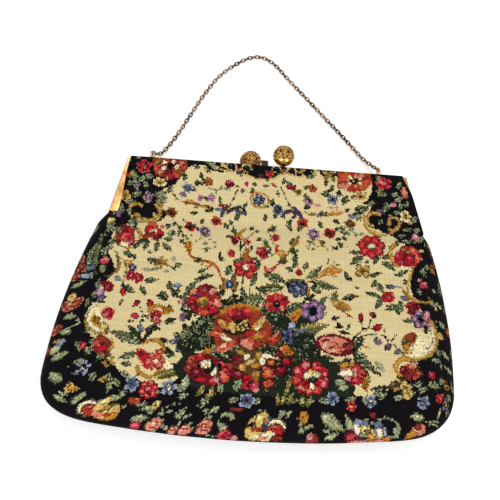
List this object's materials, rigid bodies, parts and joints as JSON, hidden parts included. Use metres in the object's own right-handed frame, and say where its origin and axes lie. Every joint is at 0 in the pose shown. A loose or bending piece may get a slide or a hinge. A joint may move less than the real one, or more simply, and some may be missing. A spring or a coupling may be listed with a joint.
{
  "type": "framed tapestry handbag",
  "caption": "Flat tapestry evening handbag on a hinged metal frame, with a pierced ball clasp and a short link chain, lying on its back.",
  "frame": {"origin": "middle of the flat of the back that the bag rests on", "axes": "+X across the bag from the left hinge to the right hinge, +Y from the pouch towards the clasp, +Z out of the front"},
  "size_m": [0.2338, 0.2478, 0.0278],
  "materials": {
    "tapestry": "matt ribbed weave",
    "satin_lining": "soft satin",
    "gilt_frame": "gilt, polished",
    "clasp_brass": "polished, darkened in the piercings",
    "chain_brass": "aged, dull"
  },
  "bodies": {
    "bag": {"back_panel": "tapestry", "gusset": "tapestry", "front_panel": "tapestry", "back_lining": "satin_lining", "gusset_lining": "satin_lining", "front_lining": "satin_lining", "inner_pocket": "satin_lining", "back_frame": "gilt_frame", "back_frame_lining": "satin_lining", "hinge_rivet_left": "gilt_frame", "hinge_rivet_right": "gilt_frame", "back_ball_post": "clasp_brass", "back_ball_cup": "clasp_brass", "back_ball_filigree": "clasp_brass", "catch_tongue": "gilt_frame", "chain_eye_left": "chain_brass", "chain_eye_right": "chain_brass"},
    "front_half": {"front_frame": "gilt_frame", "front_cover": "tapestry", "front_frame_lining": "satin_lining", "front_ball_post": "clasp_brass", "front_ball_cup": "clasp_brass", "front_ball_filigree": "clasp_brass"},
    "chain_handle": {"chain_end_ring_left": "chain_brass", "chain_end_ring_right": "chain_brass", "chain_links": "chain_brass"}
  },
  "joints": [
    {"name": "frame_open", "type": "hinge", "parent": "bag", "child": "front_half", "pos_m": [0, 0.05725, 0.013], "axis": [1, 0, 0], "range_deg": [0, 60]},
    {"name": "chain_swing", "type": "hinge", "parent": "bag", "child": "chain_handle", "pos_m": [0, 0.1037, 0.0103], "axis": [1, 0, 0], "range_deg": [-45, 110]}
  ]
}
